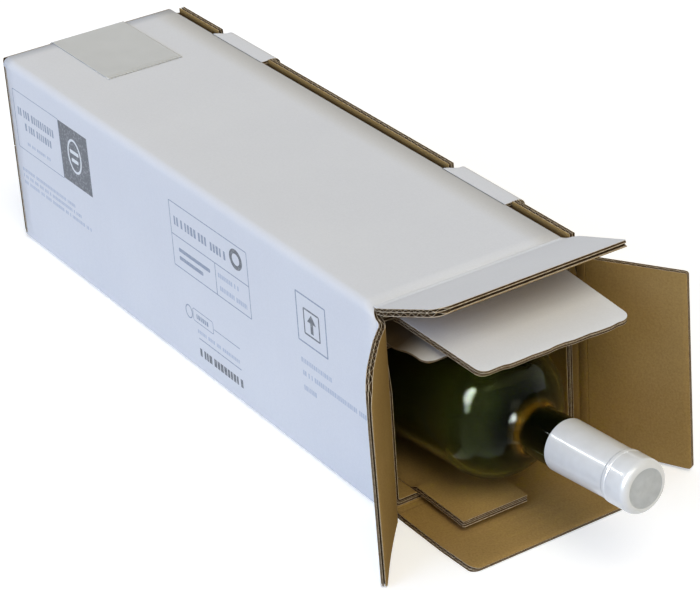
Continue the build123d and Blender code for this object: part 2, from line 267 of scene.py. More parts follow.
def make_ink(name, colour):
    """Printing ink, a little worn where the paper's fibres stand up."""
    m = new_material(name)
    pale = tuple(0.65 * c + 0.35 * 0.6 for c in colour)
    return m.surface(m.ramp(m.noise(650.0, 3.0, 0.6), (0.5, colour), (0.72, pale)), 0.5)


def make_green_glass():
    """Dark green bottle glass with a faint waviness from its mould.

    Counted along the bottle it is green to the shoulder; past it the colour is painted light:
    nearly black bands of painted shade on the shoulder and up the neck, and an amber band at the
    neck's thick root that is a painted refraction of the brown board.
    """
    # Painted light: near-black bands of painted shade, and an amber band that paints the brown
    # board's refraction
    painted_light_bands = ((197, (0.35, 0.41, 0.14)), (201.5, (0.08, 0.11, 0.04)), (204.5, (0.07, 0.09, 0.03)),
             (206.5, (0.85, 0.58, 0.12)), (210, (0.80, 0.55, 0.12)),
             (213, (0.05, 0.08, 0.03)), (230, (0.05, 0.08, 0.03)))
    m = new_material("bottle_glass")
    body = m.ramp(m.noise(9.0, 2.0, 0.5), (0.3, (0.33, 0.39, 0.12)), (0.7, (0.39, 0.44, 0.16)))
    reach = m.add("VectorMath", {"operation": "DOT_PRODUCT"},
                  i0=m.place(), i1=tuple(bottle_axis)).outputs["Value"]
    share = m.math("MULTIPLY_ADD", reach, 1 / bottle_length,
                   -float(bottle_foot @ bottle_axis) / bottle_length)
    rings = m.ramp(share, *((distance * MM / bottle_length, tone) for distance, tone in painted_light_bands))
    past_body = m.math("GREATER_THAN", share, painted_light_bands[0][0] * MM / bottle_length)
    wave = m.noise(32.0, 1.0, 0.4)
    return m.surface(m.mix(past_body, body, rings), 0.0, Normal=m.bump(0.05, 0.0006, wave),
                     IOR=1.5, Specular_Tint=(0.08, 0.085, 0.08, 1.0), Transmission_Weight=0.98)


def make_wine():
    """White wine: a pale straw liquid with slow streaks of a deeper tone."""
    m = new_material("white_wine")
    tone = m.ramp(m.noise(11.0, 2.0, 0.5), (0.3, (0.72, 0.68, 0.34)), (0.7, (0.80, 0.76, 0.42)))
    return m.surface(tone, 0.02, IOR=1.34, Specular_Tint=(0.2, 0.2, 0.2, 1.0),
                     Transmission_Weight=1.0)


def make_cork():
    """Cork bark: tan grains with dark pores."""
    m = new_material("cork_bark")
    grain = m.add("TexVoronoi", Vector=m.place(), Scale=620.0).outputs["Distance"]
    pores = m.noise(380.0, 4.0, 0.7)
    tan = m.ramp(grain, (0.0, (0.32, 0.19, 0.10)), (0.35, (0.58, 0.40, 0.24)),
                 (0.8, (0.66, 0.48, 0.30)))
    dark = m.ramp(pores, (0.33, (0.25, 0.16, 0.1)), (0.45, (1, 1, 1)))
    return m.surface(m.mix(1.0, tan, dark, "MULTIPLY"), 0.85, Normal=m.bump(0.6, 0.0004, pores))


def make_capsule():
    """Glossy white foil, pressed on, with soft lengthways pleats too faint to see as shape."""
    m = new_material("white_foil")
    pleats = m.noise(160.0, 2.0, 0.5)
    tone = m.ramp(pleats, (0.3, (0.685, 0.68, 0.645)), (0.7, (0.725, 0.72, 0.69)))
    return m.surface(tone, 0.3, Normal=m.bump(0.15, 0.0002, pleats), Coat_Weight=0.6,
                     Coat_Roughness=0.04)


def make_foil_end():
    """The capsule's end disc, a duller grey-white."""
    m = new_material("capsule_end")
    return m.surface(m.ramp(m.noise(240.0, 2.0, 0.5), (0.3, (0.42, 0.43, 0.42)),
                            (0.7, (0.48, 0.49, 0.48))), 0.4)


# The coated white face of the board
white_paper = paper_material(
    "white_paper", (0.715,) * 3, (0.69, 0.69, 0.695), 0.6, 0.30, 0.035, 0.06)
# The brown inner face of the board
brown_paper = paper_material(
    "brown_paper", (0.385, 0.243, 0.080), (0.325, 0.20, 0.062), 0.85, 0.55, 0.20, 0.03)
# The raw edges and the flutes, brown with darker hollows
cut_paper = cut_material(
    "cut_edge_paper", 700.0, 0.5, 0.9, (0.3, (0.075, 0.042, 0.018)),
    (0.55, (0.14, 0.082, 0.036)), (0.75, (0.26, 0.17, 0.08)))
# The cut edges of the facing papers, paler than the flutes between them
paper_edge = cut_material(
    "paper_edge", 520.0, 0.4, 0.85, (0.3, (0.34, 0.25, 0.14)),
    (0.5, (0.54, 0.43, 0.28)), (0.75, (0.68, 0.58, 0.42)))
# The liner's white face, a shade lighter than the box's: painted light that stands in for the light
# under the top flap
liner_paper_painted_lighter = paper_material(
    "liner_white_paper_painted_lighter", (0.775, 0.78, 0.775), (0.75, 0.755, 0.75), 0.60, 0.30, 0.03, 0.06)
# The upper tongue's white face, with painted shade: dark brown towards its root, where it lies in
# shade
tongue_paper_painted_shade = paper_material(
    "tongue_paper_painted_shade", (0.70, 0.70, 0.69), (0.66, 0.66, 0.65), 0.6, 0.30, 0.03, 0.06,
    ((0.13, 0.09, 0.045), 208 * MM, 231 * MM))

board_materials = [white_paper, brown_paper, cut_paper, paper_edge]
liner_materials = [liner_paper_painted_lighter, *board_materials[1:]]
tongue_materials = [tongue_paper_painted_shade, *board_materials[1:]]


# --- Sheets of board ----------------------------------------------------------------


def unit(vector):
    vector = np.asarray(vector, float)
    return vector / np.linalg.norm(vector)


def forward_and(towards, angle):
    """The direction +X, turned by an angle towards another direction."""
    return math.cos(angle) * ALONG + math.sin(angle) * towards


def eased(count):
    """Shares from 0 to 1 that lie closer together at both ends."""
    return (1 - np.cos(np.linspace(0, math.pi, count))) / 2


def flute_shares(low, high):
    """Even shares of a span, six to a fine flute."""
    return np.linspace(0, 1, int((high - low) / (fine_pitch / 6)))


def edge(*stations):
    """A line, straight between pairs in mm of (place, value) and level past them."""
    places, values = np.array(stations, float).T * MM
    return lambda u: np.interp(u, places, values)


def ring_quads(n, m, closed):
    """Quads between n rings of m points each; closed joins the last ring to the first."""
    index = np.arange(n * m).reshape(n, m)
    rows = np.concatenate([index, index[:1]]) if closed else index
    right = np.roll(rows, -1, axis=1)
    return np.stack([rows[:-1], rows[1:], right[1:], right[:-1]], -1).reshape(-1, 4)


def outwards(verts, faces):
    """Turns the faces of a closed shape round if they point inwards, by the sign of its volume."""
    a, b, c, d = (verts[faces[:, k]] for k in range(4))
    volume = (a * np.cross(b, c)).sum() + (a * np.cross(c, d)).sum()
    return faces if volume > 0 else faces[:, ::-1]


def slab(points, outer, inner, marks):
    """A closed slab between two depths below a sheet's white face.

    points(depth) gives the grid of places at a depth for each grid point. marks are the
    material numbers of the outer side, the inner side and the cut edge.
    """
    top, bottom = points(outer), points(inner)
    n, m = top.shape[:2]
    count = n * m
    index = np.arange(count).reshape(n, m)
    loop = np.concatenate([index[:, 0], index[-1, 1:], index[-2::-1, -1], index[0, -2:0:-1]])
    after = np.roll(loop, -1)
    corners = [index[:-1, :-1], index[1:, :-1], index[1:, 1:], index[:-1, 1:]]
    over = np.stack(corners, -1).reshape(-1, 4)
    sides = np.stack([loop, loop + count, after + count, after], -1)
    faces = np.concatenate([over, over[:, ::-1] + count, sides])
    kinds = np.repeat(marks, [len(over), len(over), len(sides)])
    verts = np.concatenate([top.reshape(-1, 3), bottom.reshape(-1, 3)])
    return verts, outwards(verts, faces), kinds


def put_mesh(name, verts, faces, kinds, materials, uv=None, smooth_kinds=(WHITE, BROWN)):
    """Makes a mesh object at the origin from arrays of places, quads and material numbers."""
    mesh = bpy.data.meshes.new(name)
    mesh.vertices.add(len(verts))
    mesh.vertices.foreach_set("co", np.asarray(verts, np.float32).ravel())
    mesh.loops.add(faces.size)
    mesh.loops.foreach_set("vertex_index", faces.astype(np.int32).ravel())
    mesh.polygons.add(len(faces))
    starts = np.arange(0, faces.size, faces.shape[1], dtype=np.int32)
    mesh.polygons.foreach_set("loop_start", starts)
    mesh.polygons.foreach_set("material_index", kinds.astype(np.int32))
    mesh.polygons.foreach_set("use_smooth", np.isin(kinds, smooth_kinds))
    for material in materials:
        mesh.materials.append(material)
    if uv is not None:
        layer = mesh.uv_layers.new(name="UVMap")
        layer.data.foreach_set("uv", uv[faces.ravel()].astype(np.float32).ravel())
    mesh.update(calc_edges=True)
    piece = bpy.data.objects.new(name, mesh)
    bpy.context.scene.collection.objects.link(piece)
    return piece


def join_layers(parts):
    """Joins rows of (places, quads, material numbers, UV) into one."""
    verts, faces, kinds, uvs = zip(*parts)
    starts = np.cumsum([0] + [len(v) for v in verts[:-1]])
    faces = [f + start for f, start in zip(faces, starts)]
    return tuple(np.concatenate(column) for column in (verts, faces, kinds, uvs))


def sheet_layers(path, normals, across, low, high, shares, run, flutes="stations", crush=None,
                 lift=None, only=None):
    """The layers of one sheet of double corrugated board.

    A point is path[station] + span * across - depth * normal. The span goes from low to
    high at each station in the given shares. Flutes are sine waves of the run, which is
    counted along the stations ("stations") or along the span ("span"). crush squeezes the
    depth towards a share of the board, and lift moves the sheet off its plane.
    """
    n, m = len(path), len(shares)
    low, high = np.broadcast_to(low, n), np.broadcast_to(high, n)
    normals = np.broadcast_to(normals, (n, 3))
    span = low[:, None] + (high - low)[:, None] * shares
    along = np.broadcast_to(run[:, None], (n, m))
    base = path[:, None, :] + span[..., None] * across
    squeeze, pivot = (1.0, 0.0) if crush is None else crush(along, span)
    raised = 0.0 if lift is None else lift(along, span)

    def points(depth):
        fall = np.broadcast_to(depth, (n, m)) * squeeze + pivot * board * (1 - squeeze) - raised
        return base - fall[..., None] * normals[:, None, :]

    counted, other = (along, span) if flutes == "stations" else (span, along)
    waves = 2 * np.pi * counted
    coarse_flute = board - 3 * paper - fine_flute
    half = flute_paper / 2
    first = paper + fine_flute / 2 - (fine_flute / 2 - half) * np.sin(waves / fine_pitch)
    second = (board - paper - coarse_flute / 2
              + (coarse_flute / 2 - half) * np.sin(waves / flute_pitch))
    hidden = (RAW, RAW, EDGE)
    layers = {
        "outer": (0.0, paper, (WHITE, RAW, EDGE)),
        "flute_1": (first - half, first + half, hidden),
        "middle": (paper + fine_flute, 2 * paper + fine_flute, hidden),
        "flute_2": (second - half, second + half, hidden),
        "inner": (board - paper, board, (RAW, BROWN, EDGE)),
    }
    flat = np.stack([counted, other], -1).reshape(-1, 2)
    return join_layers([(*slab(points, *layers[key]), np.concatenate([flat, flat]))
                        for key in (only or layers)])


def rounded_path(corners, radius, side, arc_steps=8, line_step=None):
    """Stations along straight runs joined by round bends.

    corners are 3-D points; radius is one number or one for each bend. side is the span's
    direction, and the white face's normal is the run's direction times side. Returns places,
    normals and run lengths.
    """
    corners = np.array(corners, float)
    radii = np.broadcast_to(radius, len(corners) - 2)
    places, normals = [], []

    def add(place, direction):
        if not places or np.linalg.norm(place - places[-1]) >= 1e-7:
            places.append(place)
            normals.append(np.cross(direction, side))

    def add_line(start, end):
        length = np.linalg.norm(end - start)
        if length < 1e-7:
            return
        steps = 1 if line_step is None else max(1, int(round(length / line_step)))
        for k in range(steps + 1):
            add(start + (end - start) * k / steps, (end - start) / length)

    at = corners[0]
    for k, bend in enumerate(radii, 1):
        before, after = unit(corners[k] - corners[k - 1]), unit(corners[k + 1] - corners[k])
        turn = math.acos(np.clip(before @ after, -1, 1))
        cut = bend * math.tan(turn / 2)
        start = corners[k] - before * cut
        add_line(at, start)
        inward = unit(after - before * (before @ after))
        centre = start + inward * bend
        for j in range(1, arc_steps + 1):
            cosine, sine = math.cos(turn * j / arc_steps), math.sin(turn * j / arc_steps)
            add(centre - inward * bend * cosine + before * bend * sine,
                before * cosine + inward * sine)
        at = corners[k] + after * cut
    add_line(at, corners[-1])
    places, normals = np.array(places), np.array(normals)
    steps = np.linalg.norm(np.diff(places, axis=0), axis=1)
    return places, normals, np.concatenate([[0], np.cumsum(steps)])


def tip_stations(start, end, radii, step):
    """Stations along a flap, closer together where its corners are round."""
    even = np.arange(start, end, step)
    rounds = [end - r * (1 - np.cos(np.linspace(0, math.pi / 2, 15))) for r in radii]
    stations = np.unique(np.round(np.concatenate([even, [start, end], *rounds]), 7))
    return stations[(stations >= start) & (stations <= end)]


def corner_inset(stations, end, radius):
    """How far a rounded corner draws the flap's side in: r - sqrt(r^2 - (u - (end - r))^2)."""
    into = np.clip(stations - (end - radius), 0, radius)
    return radius - np.sqrt(np.maximum(radius**2 - into**2, 0))


def near_side(span, lows, highs, reach):
    """1 at a side edge, fading inwards as e^(-distance / reach)."""
    distance = np.maximum(np.minimum(span - lows[:, None], highs[:, None] - span), 0)
    return np.exp(-distance / reach)


def flap_sheet(hinge, out, across, length, low, high, low_corner, high_corner, crush_tip=0.75,
               lift=None, tip_slant=None, swell=0.0):
    """A flat flap with rounded corners whose flutes run along its crease.

    low and high give its side edges as functions of the distance from the crease. The die
    has squeezed its cut edges, the tip to crush_tip of the board. swell is the share by
    which the board past the crease is thicker. tip_slant draws the tip in across the flap.
    """
    u = tip_stations(crease_reach, length, (low_corner, high_corner), fine_pitch / 7)
    lows = low(u) + corner_inset(u, length, low_corner)
    highs = high(u) - corner_inset(u, length, high_corner)

    def crush(run, span):
        at_tip = (1 - crush_tip) * np.exp(-(length - run) / (1.6 * MM))
        at_side = 0.03 * near_side(span, lows, highs, 1.2 * MM)
        puffed = swell * np.clip((run - crease_reach) / (4 * MM), 0, 1)
        return (1 - np.maximum(at_tip, at_side)) * (1 + puffed), 0.35 if swell == 0 else 0.0

    sheet = sheet_layers(hinge + u[:, None] * out, np.cross(out, across), across, lows, highs,
                         eased(25), u, crush=crush, lift=lift)
    if tip_slant is not None:
        verts = sheet[0]
        far = ((verts - hinge) @ out - crease_reach) / (length - crease_reach)
        slant = np.clip(far, 0, 1) * tip_slant((verts - hinge) @ across)
        verts -= slant[:, None] * out
    return sheet


def crease_sheet(hinge, wall_out, flap_out, across, spans):
    """The bent strip between a wall and its flap.

    Outer and inner faces are quadratic curves from the wall to the flap: the outer one is
    pulled to the score line at the hinge, the inner one to where the two inner faces meet.
    spans are the strip's low and high ends at the wall, then at the flap, in mm.
    """
    wall_low, wall_high, flap_low, flap_high = (value * MM for value in spans)
    score_depth = 0.5 * MM
    t = np.linspace(0, 1, 15)
    wall_normal, flap_normal = np.cross(wall_out, across), np.cross(flap_out, across)
    outer_0 = hinge - wall_out * crease_reach
    outer_2 = hinge + flap_out * crease_reach
    middle = unit(wall_normal + flap_normal)
    half_turn = math.acos(np.clip(wall_out @ flap_out, -1, 1)) / 2

    def curve(start, pull, end):
        """A quadratic curve: (1 - t)^2 start + 2 t (1 - t) pull + t^2 end."""
        s = t[:, None]
        return (1 - s) ** 2 * start + 2 * s * (1 - s) * pull + s**2 * end

    outer = curve(outer_0, hinge - middle * score_depth, outer_2)
    inner = curve(outer_0 - wall_normal * board, hinge - middle * board / math.cos(half_turn),
                  outer_2 - flap_normal * board)
    return sheet_layers(outer, (outer - inner) / board, across,
                        wall_low + (flap_low - wall_low) * t,
                        wall_high + (flap_high - wall_high) * t,
                        eased(13), (2 * t - 1) * crease_reach)


def place_board(name, parts, body, nodes=(), materials=board_materials):
    """Puts one or more sheets into the scene as one piece on a body."""
    verts, faces, kinds, uvs = join_layers(parts)
    piece = put_mesh(name, verts, faces, kinds, materials, uvs)
    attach(piece, body)
    if nodes:
        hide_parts(*nodes)


# --- Front flaps --------------------------------------------------------------------

left_hinge = np.array([left_crease_x, -half_width, 0.0])
left_out = forward_and(-ACROSS, left_flap_angle)
right_hinge = np.array([right_crease_x, half_width, 0.0])
right_out = forward_and(ACROSS, right_flap_angle)
top_hinge = np.array([lid_crease_x, 0.0, lid_height])
top_out = forward_and(UP, top_flap_angle)
bottom_hinge = np.array([bottom_crease_x, 0.0, 0.0])


def left_lift(run, span):
    """The left flap curls: its low end swings back a little less than its top."""
    share = run / (60 * MM)
    low_end = np.clip(1 - span / (90 * MM), 0, 1)
    return -1.2 * MM * share**2 * low_end + 0.5 * MM * np.sin(share * math.pi)


for label, sheet in (
    ("left_flap", flap_sheet(
        left_hinge, left_out, UP, 60 * MM, edge((0, 0.5)), edge((0, 114.0), (20, 117.2)),
        1.5 * MM, 15 * MM, 0.7, left_lift)),
    ("right_flap", flap_sheet(
        right_hinge, right_out, -UP, 61.5 * MM, edge((0, -112.5), (59.2, -116.4)),
        edge((0, -0.5), (61.5, -2.0)), 1.5 * MM, 1.5 * MM, 0.7,
        tip_slant=edge((-116.4, 2.3), (-2.0, 0)))),
    ("top_flap", flap_sheet(
        top_hinge, top_out, ACROSS, 53.5 * MM, edge((0, -60.7), (7, -60.7), (53.5, -56.5)),
        edge((0, 57.5), (7, 60.25), (53.5, 56.5)), 9 * MM, 1.5 * MM, swell=0.17)),
    ("bottom_flap", flap_sheet(
        bottom_hinge, ALONG, -ACROSS, 66.5 * MM, edge((0, -58.5)),
        edge((40, 58.5), (66.5, 57.4)), 5 * MM, 5 * MM, 0.42)),
):
    place_board(label + "_board", [sheet], label, (label,))

for label, hinge, flap_out, across, spans in (
    ("left_flap", left_hinge, left_out, UP, (5.0, 116.5, 0.5, 114.3)),
    ("right_flap", right_hinge, right_out, -UP, (-116.5, -5.0, -112.7, -0.55)),
    ("top_flap", top_hinge, top_out, ACROSS, (-60.5, lid_edge_y / MM, -60.7, 58.36)),
    ("bottom_flap", bottom_hinge, ALONG, -ACROSS, (-58.5, 58.5, -58.5, 58.5)),
):
    verts, faces, kinds, uvs = crease_sheet(hinge, ALONG, flap_out, across, spans)
    piece = put_mesh(label + "_crease", verts, faces, kinds, board_materials, uvs)
    start, end = hinge - ALONG * crease_reach, hinge + flap_out * crease_reach
    tuple(start)
    tuple(end)
    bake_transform(piece)


# --- Outer box ----------------------------------------------------------------------


def sleeve_part():
    """The sleeve: lid, left wall, floor and right wall as one sheet round the long axis."""
    path, normals, run = rounded_path(
        [(0, lid_edge_y, lid_height), (0, -half_width, lid_height), (0, -half_width, 0),
         (0, half_width, 0), (0, half_width, notch_z)],
        fold_radius, ALONG, 10, 15 * MM)
    on_lid = path[:, 2] > lid_height - fold_radius + 1e-6
    on_floor = path[:, 2] < fold_radius - 1e-6
    on_left = path[:, 1] < 0
    wall_crease_x = np.where(on_left, left_crease_x, right_crease_x)
    crease_x = np.where(on_lid, lid_crease_x, np.where(on_floor, bottom_crease_x, wall_crease_x))
    down_fold = np.clip((lid_height - path[:, 2]) / fold_radius, 0, 1)
    end = (crease_x - crease_reach
           + np.where(on_lid & on_left, (left_crease_x - lid_crease_x) * down_fold, 0.0))
    start = np.where(on_lid | on_floor, back_x, back_inner_x) + fold_radius
    return sheet_layers(path, normals, ALONG, start, end, np.linspace(0, 1, 41), run, "span",
                        only=faces_only)


def rim_parts():
    """The right wall's upper edge, in the three runs between the tabs' notches."""
    (first_low, first_high), (second_low, second_high) = tab_spans
    heights = np.array([notch_z, rim_z - 1.5 * MM, rim_z - 0.5 * MM, rim_z])
    path = np.stack([0 * heights, 0 * heights + half_width, heights], -1)

    def crush(run, span):
        return 1 - 0.1 * np.exp(-(rim_z - run) / (1.0 * MM)), 0.5

    return [sheet_layers(path, ACROSS, ALONG, low, high, flute_shares(low, high), heights, "span",
                         crush)
            for low, high in ((back_inner_x + fold_radius, first_low - notch_play),
                              (first_high + notch_play, second_low - notch_play),
                              (second_high + notch_play, lid_crease_x - notch_play))]


def lid_edge_part():
    """Flutes inside the lid's free edge."""
    run = np.array([0, lid_edge_depth])
    path = np.stack([0 * run, lid_edge_y - run, 0 * run + lid_height], -1)
    low, high = back_x + fold_radius, lid_crease_x - crease_reach
    return sheet_layers(path, UP, ALONG, low, high, flute_shares(low, high), run, "span",
                        only=("flute_1", "flute_2"))


def back_parts():
    """The four flaps that close the back end."""
    parts = []
    for level, hand in ((lid_height, 1), (0.0, -1)):
        side = -ACROSS * hand
        seam = lid_height / 2 + seam_half * hand
        path, normals, run = rounded_path(
            [(back_x + fold_radius, 0, level), (back_x, 0, level), (back_x, 0, seam)],
            fold_radius, side, 10, 12 * MM)
        low, high = sorted((-lid_edge_y * hand, back_flap_left * hand))
        parts.append(sheet_layers(path, normals, side, low, high, eased(31), run, only=faces_only))
    for hand in (-1, 1):
        side = UP * hand
        path, normals, run = rounded_path(
            [(back_inner_x + fold_radius, hand * half_width, 0),
             (back_inner_x, hand * half_width, 0), (back_inner_x, hand * back_side_flap_end, 0)],
            fold_radius, side, 10, 12 * MM)
        low, high = sorted((back_side_flap_low * hand, back_side_flap_high * hand))
        parts.append(sheet_layers(path, normals, side, low, high, np.linspace(0, 1, 9), run,
                                  only=faces_only))
    return parts


def tab_parts():
    """The lid's locking tabs: over the wall's notches and down outside it.

    Each has an S-shaped back shoulder.
    """
    path, normals, run = rounded_path(
        [(0, lid_edge_y - 0.5 * MM, lid_height), (0, tab_outer_y, lid_height),
         (0, tab_outer_y, tab_tip_z), (0, inner_wall_y + 0.5 * MM, tab_tip_z)],
        tab_bend, -ALONG, 8, 1.0 * MM)
    into = np.clip((path[:, 1] - lid_edge_y) / (half_width - lid_edge_y), 0, 1)
    level = path[:, 2] > lid_height - 1e-6
    shoulder = np.where(level, tab_shoulder * into**2 * (3 - 2 * into), tab_shoulder)
    return [sheet_layers(path, normals, -ALONG, -high, -(low + shoulder), flute_shares(low, high),
                         run, "span")
            for low, high in tab_spans]


place_board("outer_box_board", [sleeve_part()] + back_parts() + tab_parts(), "box",
            ("outer_box",))
place_board("outer_box_cut_edges", rim_parts() + [lid_edge_part()], "box")


# --- Liner --------------------------------------------------------------------------


def liner_tube():
    """The liner's square tube, its upper left front corner worn back a little."""
    path, normals, run = rounded_path(
        [(0, 0, liner_high), (0, -liner_y, liner_high), (0, -liner_y, liner_low),
         (0, liner_y, liner_low), (0, liner_y, liner_high), (0, 0, liner_high)],
        liner_fold, ALONG, 8, 12 * MM)
    y, z = path[:, 1], path[:, 2]
    at_crease = (z > liner_high - 1e-5) & (np.abs(y) < 51 * MM)
    end = np.where(at_crease, liner_front_x - crease_reach, liner_front_x)
    on_left_wall = np.clip((-51.5 * MM - y) / (2 * MM), 0, 1)
    near_top = np.clip((z - 75 * MM) / (25 * MM), 0, 1)
    end = end - 5 * MM * on_left_wall * near_top
    shares = np.concatenate([np.linspace(0, 0.99, 20), [0.994, 0.997, 1.0]])
    return sheet_layers(path, normals, ALONG, liner_back_x, end, shares, run, "span")


def lower_lap():
    """The lap glued on the liner's floor and the lower tongue that its front end makes."""
    corner = 1 * MM
    stations = np.unique(np.concatenate([
        tip_stations(liner_back_x, floor_tongue_end_x, (corner,), 2.0 * MM),
        np.arange(liner_front_x - 4 * MM, floor_tongue_end_x, fine_pitch / 7)]))
    path = stations[:, None] * ALONG + (liner_low + board) * UP
    inset = corner_inset(stations, floor_tongue_end_x, corner)
    lows, highs = -(floor_lap_low + lap_width) + inset, -floor_lap_low - inset

    def pressed(run, span):
        """The glue press has flattened the lap's edges down to the floor."""
        glued = np.clip((liner_front_x - run) / (6 * MM), 0, 1)
        return 1 - 0.85 * near_side(span, lows, highs, 2.5 * MM) * glued, 0.0

    return sheet_layers(path, -UP, -ACROSS, lows, highs, eased(25), stations, crush=pressed)


def upper_lap():
    """The lap glued under the liner's ceiling, whose front end droops onto the bottle."""
    ceiling = liner_high - board
    front = np.array([liner_front_x, 0, ceiling])
    tip = front + upper_tongue_length * forward_and(-UP, upper_tongue_droop)
    path, normals, run = rounded_path(
        [(liner_back_x, 0, ceiling), front - 2 * MM * ALONG, tip],
        40 * MM, ACROSS, 14, fine_pitch / 4)
    end = run[-1]
    inset = corner_inset(run, end, 6 * MM)
    lows, highs = upper_lap_low + inset, upper_lap_low + lap_width - inset

    def crush(run_at, span):
        """The die has pressed the free edges nearly flat."""
        free = np.clip((run_at - (end - 33 * MM)) / (4 * MM), 0, 1)
        at_side = free * near_side(span, lows, highs, 2.5 * MM)
        return 1 - 0.68 * np.maximum(np.exp(-(end - run_at) / (2.5 * MM)), at_side), 0.0

    def sag(run_at, span):
        """The loose left corner hangs lower than the glued part, most at the mouth."""
        hump = np.exp(-(((run_at - (end - 32 * MM)) / (17 * MM)) ** 2))
        loose = np.clip((upper_lap_low + 34 * MM - span) / (34 * MM), 0, 1)
        return -12 * MM * hump * loose**1.5

    return sheet_layers(path, normals, ACROSS, lows, highs, eased(25), run, crush=crush, lift=sag)


def worn_tip(v):
    """How far the flap's worn front edge falls short: most at the left, with small nicks."""
    nicks = 0.45 * MM * np.tanh(3 * np.sin(v / (4.1 * MM))) * np.sin(v / (9.7 * MM) + 1)
    return edge((-40, 2.6), (10, 1.6), (50, 0.8))(v) + nicks


def liner_flap_parts():
    """The liner's own flap over the bottle's shoulder, with its crease."""
    hinge = np.array([liner_front_x, 0, liner_high])
    out = forward_and(-UP, liner_flap_sag)
    far = liner_flap_length / MM
    return [
        flap_sheet(hinge, out, ACROSS, liner_flap_length, edge((0, -49), (far, -40.5)),
                   edge((0, 46), (far, 50)), 5 * MM, 6.5 * MM, 0.8, tip_slant=worn_tip),
        crease_sheet(hinge, ALONG, out, ACROSS, (-49.6, 46, -48.7, 46.1))]


place_board("liner_board", [liner_tube(), lower_lap()], "box", ("liner",),
            liner_materials)
place_board("liner_flap_board", liner_flap_parts(), "box",
            materials=liner_materials)
place_board("liner_upper_tongue", [upper_lap()], "box", materials=tongue_materials)


# --- Bottle -------------------------------------------------------------------------


def turned(name, profile, materials, kinds=None, around=96):
    """A surface of revolution: foot + s * axis + r * (cos a * side + sin a * up).

    profile is rows of (distance along the axis, radius), in order so that the outside is
    met before the inside. kinds holds the material number of each band between two rows.
    """
    s, r = np.asarray(profile, float).T[:, :, None, None]
    angle = np.linspace(0, 2 * math.pi, around, endpoint=False)[:, None]
    ring = np.cos(angle) * bottle_side + np.sin(angle) * bottle_up
    verts = (bottle_foot + s * bottle_axis + r * ring).reshape(-1, 3)
    faces = outwards(verts, ring_quads(len(s), around, False))
    marks = np.zeros(len(faces), int) if kinds is None else np.repeat(kinds, around)
    return put_mesh(name, verts, faces, marks, materials, smooth_kinds=range(len(materials)))


def soft_profile(points, radii, steps=10):
    """A profile of straight runs with round corners, as rows of (along, radius)."""
    corners = [(a, r, 0.0) for a, r in points]
    return rounded_path(corners, radii, UP, steps, 6 * MM)[0][:, :2]


for node, material in (("wine", make_wine()), ("cork", make_cork())):
    node_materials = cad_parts[node].data.materials
    node_materials.clear()
    node_materials.append(material)

outside = soft_profile(
    [(24 * MM, 0), (0, 28 * MM), (0, bottle_radius), (190 * MM, bottle_radius),
     (205 * MM, neck_radius), (272.5 * MM, neck_radius)],
    [1.5 * MM, 6 * MM, 22 * MM, 14 * MM], 12)
lip = soft_profile(
    [(273 * MM, finish_radius), (bottle_length, finish_radius), (bottle_length, bore_radius),
     (272 * MM, bore_radius)],
    [3 * MM, 0.6 * MM], 6)
inner_radius = bottle_radius - glass_wall
inside = soft_profile(
    [(272 * MM, bore_radius), (205 * MM, bore_radius), (190 * MM, inner_radius),
     (glass_wall, inner_radius), (24 * MM + glass_wall, 0)],
    [14 * MM, 19.4 * MM, 6 * MM], 12)
glass = turned("bottle_glass", np.concatenate([outside, lip, inside[1:]]), [make_green_glass()])
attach(glass, "box")
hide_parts("bottle")

capsule_end = 289.4 * MM
skirt = soft_profile(
    [(capsule_start, neck_radius + 0.05 * MM), (capsule_start, neck_radius + 0.7 * MM),
     (272.1 * MM, neck_radius + 0.14 * MM), (273.3 * MM, capsule_radius),
     (275.2 * MM, capsule_radius), (275.5 * MM, groove_radius), (275.9 * MM, groove_radius),
     (276.2 * MM, capsule_radius), (capsule_end, capsule_radius), (capsule_end, 10.4 * MM)],
    [r * MM for r in (0.25, 0.8, 0.6, 0.15, 0.1, 0.1, 0.15, 3.6)], 7)
disc = np.array([(289.32, 10.2), (289.22, 10.0), (289.27, 9.7), (289.36, 0.0)]) * MM
end_lining = np.array([(289.1, 0.0), (289.1, 10.8), (288.9, 12.0), (288.35, 12.9),
                       (287.2, 13.75)]) * MM
skirt_lining = [(286.2 * MM, lining_radius), (273 * MM, lining_radius),
                (272.5 * MM, neck_radius + 0.03 * MM), (capsule_start, neck_radius + 0.03 * MM)]
profile = np.concatenate([skirt, disc, end_lining, skirt_lining])
kinds = np.zeros(len(profile) - 1, int)
kinds[len(skirt) - 1:len(skirt) + len(disc) - 1] = 1
capsule = turned("neck_capsule", profile, [make_capsule(), make_foil_end()], kinds, around=72)
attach(capsule, "box")
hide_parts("capsule")


# --- Tape ---------------------------------------------------------------------------


